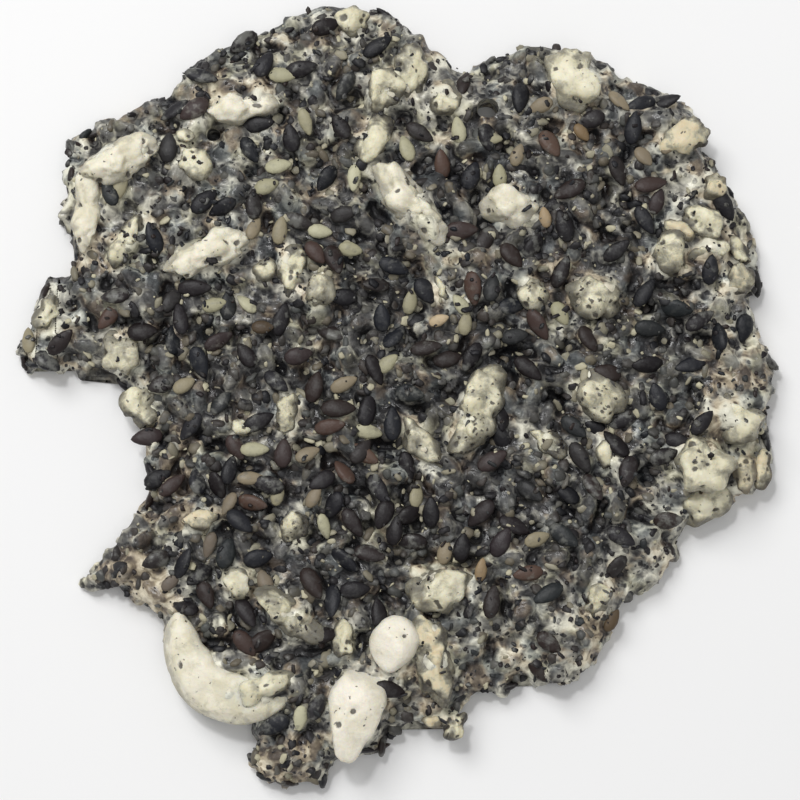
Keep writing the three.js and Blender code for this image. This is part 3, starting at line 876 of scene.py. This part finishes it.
def raise_to(field, centre, spin, half_sizes, marks, mark):
    """Lifts a height field to the top of one turned ellipsoid, and marks where it did."""
    span = max(half_sizes[:2])
    i0, i1 = np.searchsorted(grid_x, (centre[0] - span, centre[0] + span))
    j0, j1 = np.searchsorted(grid_y, (centre[1] - span, centre[1] + span))
    if i1 <= i0 or j1 <= j0:
        return
    form = spin @ np.diag(1 / np.array(half_sizes) ** 2) @ spin.T
    dx = plan_x[j0:j1, i0:i1] - centre[0]
    dy = plan_y[j0:j1, i0:i1] - centre[1]
    across = 2 * (form[0, 2] * dx + form[1, 2] * dy)
    rest = form[0, 0] * dx**2 + 2 * form[0, 1] * dx * dy + form[1, 1] * dy**2 - 1
    inside = across**2 - 4 * form[2, 2] * rest
    top = centre[2] + (-across + np.sqrt(np.maximum(inside, 0))) / (2 * form[2, 2])
    part = field[j0:j1, i0:i1]
    raised = (inside > 0) & (top > part)
    part[raised] = top[raised]
    marks[j0:j1, i0:i1][raised] = mark


def softened(field, width):
    """The field averaged over a bell of this width in millimetres."""
    reach = int(math.ceil(2.5 * width / GRID))
    weights = np.exp(-0.5 * (np.arange(-reach, reach + 1) * GRID / width) ** 2)
    weights /= weights.sum()
    for axis in (0, 1):
        field = sum(w * np.roll(field, k, axis) for w, k in zip(weights, range(-reach, reach + 1)))
    return field


def read_field(field, x, y):
    """The field's value between its grid points."""
    u = np.clip((np.asarray(x) - grid_x[0]) / GRID, 0, len(grid_x) - 1.001)
    v = np.clip((np.asarray(y) - grid_y[0]) / GRID, 0, len(grid_y) - 1.001)
    i, j = u.astype(int), v.astype(int)
    s, t = u - i, v - j
    low = field[j, i] * (1 - s) + field[j, i + 1] * s
    high = field[j + 1, i] * (1 - s) + field[j + 1, i + 1] * s
    return low * (1 - t) + high * t


def plan_lumps(size, salt):
    """Lumps of this size all over the height field."""
    return lumpiness(plan_x, plan_y, np.zeros(plan_x.shape), size, salt)


proud = np.full(level.shape, FAR_BELOW)
sunk = np.full(level.shape, FAR_BELOW)
nut_tops = np.full(level.shape, FAR_BELOW)
lap = np.full(level.shape, LAP)
hull_tint = np.full(level.shape, 0.4)
proud_rows = black_rows + brown_rows + pale_rows + amber_rows
for field, rows in ((proud, proud_rows), (sunk, sunk_rows)):
    for x, y, z, roll, pitch, heading, length, width, thickness, tint, film in rows:
        halves = (SEED_LENGTH / 2 * length, SEED_WIDTH / 2 * width, SEED_THICKNESS / 2 * thickness)
        raise_to(field, (x, y, z), turned(heading, roll, pitch), halves, hull_tint, tint)
for index, nut in enumerate(NUTS):
    x, y, length, width = nut[:4]
    along, across = beside_nut(plan_x, plan_y, nut)
    apart = np.hypot(along / (length / 2), across / (width / 2))
    crown = NUT_FLATNESS * width / 2 * np.sqrt(np.clip(1 - apart**2, 0, None))
    nut_top = nut_place(x, y, width)[2] + crown
    nut_tops = np.where(apart < 1, np.maximum(nut_tops, nut_top), nut_tops)
    lap[apart < LAP_REACH] = SMOOTH_LAP if index in SMOOTH_NUTS else LAP

lumps = plan_lumps(1.5, 11) + 0.5 * plan_lumps(0.7, 12)
pits = ease(plan_lumps(1.1, 13), 0.54, 0.74)
fine_lumps = plan_lumps(0.6, 15) - 0.5
web = level - SUGAR_BELOW_SEEDS + 0.55 * (lumps - 0.75) + 0.35 * fine_lumps
web = web + 0.35 * milk - 1.3 * pits * (1 - 0.75 * milk)
sugar = np.maximum(web, sunk + FILM)
climb = softened(np.maximum(sugar, proud), 0.4) - 0.2
lap = lap + LAP_WAVES * (plan_lumps(1.2, 16) - 0.5)
lap = softened(np.maximum(sugar, nut_tops), 0.45) + lap
sugar = softened(np.maximum(sugar, np.maximum(climb, lap)), 0.12)
proud = np.maximum(proud, nut_tops)
thin = ease(sunk - sugar, -0.45, 0.02)
depth = depth_inside(plan_x, plan_y)
shoulder = SHOULDER * (1 - ease(depth, -0.2, 1.1))
sugar = sugar - shoulder
# How far the sugar stands out of or sinks into its surroundings. The sugar's colour uses it as painted
# shade in the hollows and painted light on the crests.
relief = np.clip(sugar - softened(sugar, 0.8), -RELIEF_LIMIT, RELIEF_LIMIT)
milk = milk + 0.3 * (1 - ease(depth, 1, 9))
milk = np.clip(milk * (0.5 + plan_lumps(1.7, 14)), 0, 1)


def outward(loop):
    """The unit normals of a closed loop that runs anticlockwise."""
    run = np.roll(loop, -1, 0) - np.roll(loop, 1, 0)
    normal = np.c_[run[:, 1], -run[:, 0]]
    return normal / np.linalg.norm(normal, axis=1)[:, None]


# The rim is cragged, and set in a little, as the wall swells out past it.
rim = smooth_loop(CORNERS, EDGE_STEP)
flat = np.zeros(len(rim))
crags = lumpiness(rim[:, 0], rim[:, 1], flat, 2.2, 21) - 0.5
crags += 0.6 * (lumpiness(rim[:, 0], rim[:, 1], flat, 0.8, 22) - 0.5)
rim = rim + outward(rim) * (crags[:, None] * 0.9 - RIM_INSET)
rim_out = outward(rim)
turns = np.arange(BUBBLE_SIDES) * 2 * math.pi / BUBBLE_SIDES
circle = np.c_[np.cos(turns), np.sin(turns)]
(bx, by, bubble_radius, _), (pit_x, pit_y, pit_radius, pit_floor) = BUBBLES
bubble = (bx, by) + bubble_radius * circle
pit_lip = (pit_x, pit_y) + pit_radius * circle
pit_foot = (pit_x, pit_y) + 0.93 * pit_radius * circle

# The top is triangles from a lattice of points, joined to the rim and the bubbles.
columns_x = np.arange(-37.4, 37.4, FACET)
rows_y = np.arange(-39, 39, FACET * math.sqrt(0.75))
lattice = np.array([
    (x + (j % 2) * FACET / 2, y) for j, y in enumerate(rows_y) for x in columns_x
])
from_bubble = np.hypot(lattice[:, 0] - bx, lattice[:, 1] - by)
from_pit = np.hypot(lattice[:, 0] - pit_x, lattice[:, 1] - pit_y)
keep = depth_inside(lattice[:, 0], lattice[:, 1]) > LATTICE_INSET + RIM_INSET
keep &= from_bubble > bubble_radius + HOLE_INSET
keep &= np.abs(from_pit - pit_radius) > HOLE_INSET
lattice = lattice[keep]
points = np.vstack([rim, bubble, pit_lip, pit_foot, lattice])
starts = len(rim) + BUBBLE_SIDES * np.arange(3)
loops = [list(range(len(rim)))] + [list(range(start, start + BUBBLE_SIDES)) for start in starts]
edges = [(a, b) for loop in loops for a, b in zip(loop, loop[1:] + loop[:1])]
# Output type 1 keeps only the triangles inside the outline.
joined = delaunay_2d_cdt([Vector(p) for p in points], edges, [], 1, 1e-6)
flat_points, _, tops, sources, _, _ = joined
flat_points = np.array(flat_points)
same_place = {source: new for new, olds in enumerate(sources) for source in olds}
middles = np.array([flat_points[list(face)].mean(axis=0) for face in tops])
open_hole = np.hypot(middles[:, 0] - bx, middles[:, 1] - by) < bubble_radius * 0.97
tops = [tuple(face) for face, hole in zip(tops, open_hole) if not hole]
crust = read_field(sugar, flat_points[:, 0], flat_points[:, 1])
in_pit = np.hypot(flat_points[:, 0] - pit_x, flat_points[:, 1] - pit_y) < 0.96 * pit_radius
body = [np.c_[flat_points, np.where(in_pit, pit_floor, crust)]]
body_faces = list(tops)
count = len(flat_points)
floors = []
for loop, sign in ((loops[0], 1), (loops[1], -1)):
    ring = [same_place[i] for i in loop]
    crest = body[0][ring]
    out = sign * outward(crest[:, :2])
    for row in range(1, WALL_ROWS + 1):
        share = row / WALL_ROWS
        z = crest[:, 2] * (1 - share) + UNDERSIDE * share
        x, y = crest[:, 0], crest[:, 1]
        swell = lumpiness(x, y, z, 1.3, 23) - 0.5 + 0.5 * (lumpiness(x, y, z, 0.6, 24) - 0.5)
        if sign > 0:
            swell = swell * WALL_SWELL * math.sin(math.pi * min(share, 0.8)) ** 0.5
            swell = swell - UNDERCUT * share**3
        else:
            swell = swell * HOLE_SWELL
        body.append(np.c_[crest[:, :2] + out * swell[:, None], z])
        lower = list(range(count, count + len(ring)))
        count += len(ring)
        for k, low in enumerate(lower):
            after = (k + 1) % len(lower)
            body_faces.append((ring[k], low, lower[after], ring[after]))
        ring = lower
    floors.append(ring)
body = np.vstack(body)
under_loops = [[Vector(body[i]) for i in ring] for ring in floors]
under_corners = floors[0] + floors[1]
for a, b, c in tessellate_polygon(under_loops):
    body_faces.append((under_corners[a], under_corners[b], under_corners[c]))

x, y, z = body.T
wall = np.arange(len(body)) >= len(flat_points)
thin_share = np.where(wall, ease(lumpiness(x, y, z, 1.6, 25), 0.45, 0.75), read_field(thin, x, y))
milky_share = np.where(wall, 0.9 * lumpiness(x, y, z, 2.6, 26), 0) + read_field(milk, x, y)
# Painted shade in the bubble pit: its floor gets no milkiness and a low relief, so it is coloured
# dark.
milky_share[: len(flat_points)][in_pit] = 0
relief_shade_share = np.where(wall, 0, read_field(relief, x, y))
relief_shade_share[: len(flat_points)][in_pit] = -0.5
tint_share = read_field(softened(hull_tint, 0.15), x, y)
toffee_share = np.zeros(len(body))
for px, py, radius in TOFFEE_PATCHES:
    browner = pool(x, y, (px, py), 0.5 * radius, 1.3 * radius)
    toffee_share = np.maximum(toffee_share, browner)

cloudy = Finish("cloudy_sugar")
smoke = cloudy.cloud(2.4, detail=3, shift=3)
marble = cloudy.cloud(1.35, detail=3, roughness=0.5, shift=7, warp=1.0)
grit = cloudy.cloud(0.5, detail=2, roughness=0.5)
thread = 1 - (cloudy.cloud(1.2, detail=1, shift=15, warp=0.8) - 0.5).maths("ABSOLUTE") * 18
flake = (cloudy.cells(0.9) - smoke * 0.32 - grit * 0.2).rise(0.07, -0.04)
thin = cloudy.own("thin")
# The relief term is painted shade and light: hollows are coloured darker and crests lighter.
pale = 0.27 + 0.5 * cloudy.own("milky") + 0.75 * cloudy.own("relief") + (marble - 0.5) * 1.9
pale = pale + (smoke - 0.5) * 0.8 + (grit - 0.5) * 0.35 + thread.clamped() * 0.2 - flake * 0.34
seen_seed = 0.08 + cloudy.own("tint") * 0.24 + (smoke - 0.5) * 0.7 + (grit - 0.5) * 0.2
pale = (pale + thin * 0.8 * (seen_seed - pale) + thin * (1 - thin) * 0.5).clamped()
colour = cloudy.ramp(pale, [
    (0.0, 18, 17, 19), (0.14, 40, 39, 40), (0.32, 80, 79, 77),
    (0.5, 128, 126, 118), (0.7, 173, 170, 158), (0.88, 207, 204, 188),
    (1.0, 227, 224, 206),
])
yellow = cloudy.ramp(pale, [
    (0.0, 21, 19, 16), (0.32, 83, 80, 68), (0.5, 132, 129, 107),
    (0.7, 179, 175, 147), (1.0, 229, 225, 197),
])
cool = cloudy.ramp(pale, [
    (0.0, 17, 19, 24), (0.32, 75, 80, 82), (0.5, 124, 129, 128),
    (0.7, 172, 176, 168), (1.0, 222, 223, 211),
])
brown = cloudy.ramp(pale, [
    (0.0, 29, 22, 19), (0.32, 86, 75, 65), (0.5, 134, 120, 101),
    (0.7, 180, 165, 139), (1.0, 226, 215, 190),
])
colour = cloudy.blend(cloudy.cloud(3.2, detail=3, shift=31).rise(0.48, 0.66) * 0.7, colour, yellow)
colour = cloudy.blend(cloudy.cloud(3.0, detail=3, shift=37).rise(0.48, 0.68) * 0.7, colour, cool)
browned = cloudy.cloud(2.4, detail=3, shift=43) + cloudy.own("toffee") * 0.14
colour = cloudy.blend(browned.rise(0.51, 0.66) * 0.85, colour, brown)
gloss = cloudy.cloud(0.9, detail=3, shift=11).rise(0.44, 0.58)
sugar_finish = cloudy.shader(
    Base_Color=colour,
    Roughness=0.62 - gloss * 0.36,
    Normal=cloudy.bump(marble + grit * 0.5 + thread.clamped() * 0.2, 0.3, 0.7),
)
binder = mesh_piece(
    "sugar_body", body, body_faces, sugar_finish,
    thin=thin_share, milky=np.clip(milky_share, 0, 1), relief=relief_shade_share, tint=tint_share,
    toffee=toffee_share,
)
builder = bmesh.new()
builder.from_mesh(binder.data)
bmesh.ops.recalc_face_normals(builder, faces=builder.faces)
builder.to_mesh(binder.data)
builder.free()
binder.data.shade_smooth()
set_in_slab(binder)


# Seeds in the wall and under the slab.
# Toasted black seeds, set in the sugar before it was snapped. Those in the broken wall lie
# flat against it. Those below lay on the sheet, so they stand a hair out of the underside.
WALL_SEED_SPACING = 2.3
WALL_SEED_INSET = 0.45
WALL_SEED_FOOT = 1.15
CREST_CLEARANCE = 1.6
LEDGE = 1.6
LEDGE_DEPTH = 1.2
UNDERSIDE_SEEDS = 500
UNDERSIDE_SEED_SPACING = 2.6
UNDERSIDE_SEED_HEIGHT = 0.56
UNDERSIDE_EDGE_CLEARANCE = 1.9
UNDERSIDE_HOLE_CLEARANCE = 3
ANY_TURN = 6.28


def wall_seed(i, k, height):
    """A seed flat against the wall, behind point k of the rim."""
    run = rim[(k + 1) % len(rim)] - rim[k]
    roll = math.pi / 2 + (chance(i, 8) - 0.5) * 0.9
    pitch = (chance(i, 9) - 0.5) * 1.2
    size = 0.8 + 0.16 * chance(i, 43)
    place = rim[k] - WALL_SEED_INSET * rim_out[k]
    heading = math.atan2(run[1], run[0])
    return [*place, height, roll, pitch, heading, size, size, size, chance(i, 44), chance(i, 45)]


wall_rows = []
around = EDGE_STEP * len(rim)
count = round(around / WALL_SEED_SPACING)
for i in range(count):
    at = (i + 0.8 * chance(i, 46)) / count
    k = int(at * len(rim)) % len(rim)
    # None where the slab is too narrow, or its edge too bent, for a seed to lie along it.
    behind = rim[k] - LEDGE * rim_out[k]
    if depth_inside(*behind) < LEDGE_DEPTH:
        continue
    crest = float(read_field(sugar, rim[k][0], rim[k][1]))
    height = WALL_SEED_FOOT + max(0, crest - CREST_CLEARANCE) * chance(i, 47)
    wall_rows.append(wall_seed(i, k, height))
under_rows = []
for i in range(UNDERSIDE_SEEDS):
    x, y = spiral(i, UNDERSIDE_SEED_SPACING, 1.5, 61)
    if depth_inside(np.array(x), np.array(y)) <= UNDERSIDE_EDGE_CLEARANCE:
        continue
    if math.hypot(x - bx, y - by) <= UNDERSIDE_HOLE_CLEARANCE:
        continue
    turn = ANY_TURN * chance(i, 64)
    size = 0.92 + 0.16 * chance(i, 63)
    row = [x, y, UNDERSIDE_SEED_HEIGHT, 0, 0, turn, size, size, 1, chance(i, 65), 0.6]
    under_rows.append(row)
set_in_slab(strewn("wall_seeds", seed, wall_rows, seed_size, black_hull))
set_in_slab(strewn("underside_seeds", seed, under_rows, seed_size, black_hull))


# Crumbs and bits of seed.
# Hull and nut flesh that broke off in the stirring. The crumbs stick to the sugar and the
# nuts, and the bits of seed lie half sunk where the sugar is dark.
DARK_CRUMBS = 2100
PALE_CRUMBS = 900
CRUMB_CLEARANCE = 0.5
SEED_BITS = 900
BIT_EDGE_CLEARANCE = 0.6
BIT_BUBBLE_CLEARANCE = 0.9
draw = np.random.default_rng(7)
top = np.maximum(sugar, proud)


def crumb_rows(count, small, large, where_pale):
    """Crumbs on the sugar and the nuts, more of them where it is pale, or where it is dark."""
    rows = []
    while len(rows) < count:
        x, y = draw.uniform(-36, 36), draw.uniform(-38, 38)
        if read_field(depth, x, y) < CRUMB_CLEARANCE:
            continue
        if not clear_of_bubbles(x, y, CRUMB_CLEARANCE):
            continue
        milky = float(read_field(milk, x, y))
        if any(nut_gap(x, y, NUTS[k]) < 0.3 for k in SMOOTH_NUTS):
            continue
        if any(nut_gap(x, y, NUTS[k]) < -0.3 for k in BRIGHT_NUTS) and draw.random() < 0.6:
            continue
        on_nut = read_field(proud - sugar, x, y) > 0.1 and milky > 0.8
        wanted = (1 - milky if where_pale else milky) + 0.2
        if draw.random() > wanted or on_nut and draw.random() < 0.8:
            continue
        size = small + (large - small) * draw.random() ** 2.5
        z = float(read_field(sugar if where_pale else top, x, y)) + 0.05 * size
        stretch = draw.uniform((0.8, 0.4, 0.2), (1.6, 0.9, 0.5)) * size
        lean = draw.uniform(-0.5, 0.5, 2)
        turn = draw.uniform(0, ANY_TURN)
        rows.append([x, y, z, *lean, turn, *stretch, draw.random(), draw.random()])
    return rows


def bit_rows(count):
    """Broken seeds, half sunk wherever the sugar is dark and no whole seed lies."""
    rows = []
    while len(rows) < count:
        x, y = draw.uniform(-36, 36), draw.uniform(-38, 38)
        if read_field(depth, x, y) < BIT_EDGE_CLEARANCE:
            continue
        if not clear_of_bubbles(x, y, BIT_BUBBLE_CLEARANCE):
            continue
        if read_field(proud - sugar, x, y) > 0:
            continue
        if draw.random() < 1.2 * read_field(milk, x, y) - 0.2:
            continue
        length, width, thickness = draw.uniform((0.9, 0.65, 0.4), (1.9, 1.2, 0.8))
        z = float(read_field(sugar, x, y)) - 0.22 + 0.14 * draw.random()
        lean = draw.uniform(-0.7, 0.7, 2)
        turn = draw.uniform(0, ANY_TURN)
        rows.append([x, y, z, *lean, turn, length, width, thickness, draw.random(), draw.random()])
    return rows


crumb, crumb_faces = ball(2)
crumb = crumb * np.random.default_rng(5).uniform(0.8, 1.15, len(crumb))[:, None]
crumb = (crumb.tolist(), crumb_faces)
unit_size = (1, 1, 1)
pale_crumb = hull_finish("nut_crumb", [
    (0.0, 196, 190, 162), (1.0, 124, 118, 102),
], paint(150, 146, 132))
broken_hull = hull_finish("broken_hull", [
    (0.0, 24, 25, 29), (0.3, 38, 36, 38), (0.5, 60, 54, 50),
    (0.7, 78, 80, 78), (0.85, 102, 94, 80), (1.0, 150, 146, 126),
], paint(106, 105, 101))
for name, rows, finish, slot in (
    ("seed_bits", bit_rows(SEED_BITS), broken_hull, "dark_seed"),
    ("hull_crumbs", crumb_rows(DARK_CRUMBS, 0.22, 0.9, False), black_hull, "dark_seed"),
    ("nut_crumbs", crumb_rows(PALE_CRUMBS, 0.25, 1.1, True), pale_crumb, "nut"),
):
    set_in_slab(strewn(name, crumb, rows, unit_size, finish))


# The stage.
# A pale floor, soft light from the far left, and the camera almost overhead.
FLOOR_REACH = 2.0
SKY_STRENGTH = 0.355
floor_finish = bpy.data.materials.new("floor")
floor_finish.use_nodes = True
floor_inputs = floor_finish.node_tree.nodes["Principled BSDF"].inputs
floor_inputs["Base Color"].default_value = (0.9, 0.9, 0.9, 1)
floor_inputs["Roughness"].default_value = 0.9
floor_mesh = bpy.data.meshes.new("floor")
floor_corners = [(-1, -1, 0), (1, -1, 0), (1, 1, 0), (-1, 1, 0)]
floor_corners = [Vector(corner) * FLOOR_REACH for corner in floor_corners]
floor_mesh.from_pydata(floor_corners, [], [(0, 1, 2, 3)])
floor_mesh.materials.append(floor_finish)
floor = bpy.data.objects.new("floor", floor_mesh)
bpy.context.scene.collection.objects.link(floor)

world = bpy.data.worlds.new("studio")
world.use_nodes = True
sky = world.node_tree.nodes["Background"].inputs
sky["Color"].default_value = (1, 1, 1, 1)
sky["Strength"].default_value = SKY_STRENGTH
bpy.context.scene.world = world
bpy.context.scene.view_settings.view_transform = "Standard"


def soft_light(name, place, size, power):
    """A round area light at this place, facing the slab."""
    lamp = bpy.data.lights.new(name, "AREA")
    lamp.shape = "DISK"
    lamp.size = size
    lamp.energy = power
    light = bpy.data.objects.new(name, lamp)
    light.location = place
    light.rotation_euler = (-Vector(place)).to_track_quat("-Z", "Y").to_euler()
    bpy.context.scene.collection.objects.link(light)


soft_light("window", (-0.22, 0.3, 0.5), 0.35, 1.8)
soft_light("ceiling", (0.1, -0.1, 0.7), 0.5, 0.7)
soft_light("lamp", (-0.1, 0.16, 0.5), 0.06, 0.6)

CAMERA_AWAY = 0.3
CAMERA_TILT = math.radians(7.4)
VIEW_WIDTH = 0.076
aim = Vector((0.4, -1.1, 3.0)) * MM
camera_data = bpy.data.cameras.new("camera")
camera_data.sensor_width = 36
camera_data.lens = camera_data.sensor_width * CAMERA_AWAY / VIEW_WIDTH
camera_data.clip_start = 0.01
camera = bpy.data.objects.new("camera", camera_data)
back = Vector((0, -math.sin(CAMERA_TILT), math.cos(CAMERA_TILT)))
camera.location = aim + back * CAMERA_AWAY
camera.rotation_euler = (-back).to_track_quat("-Z", "Y").to_euler()
bpy.context.scene.collection.objects.link(camera)
bpy.context.scene.camera = camera
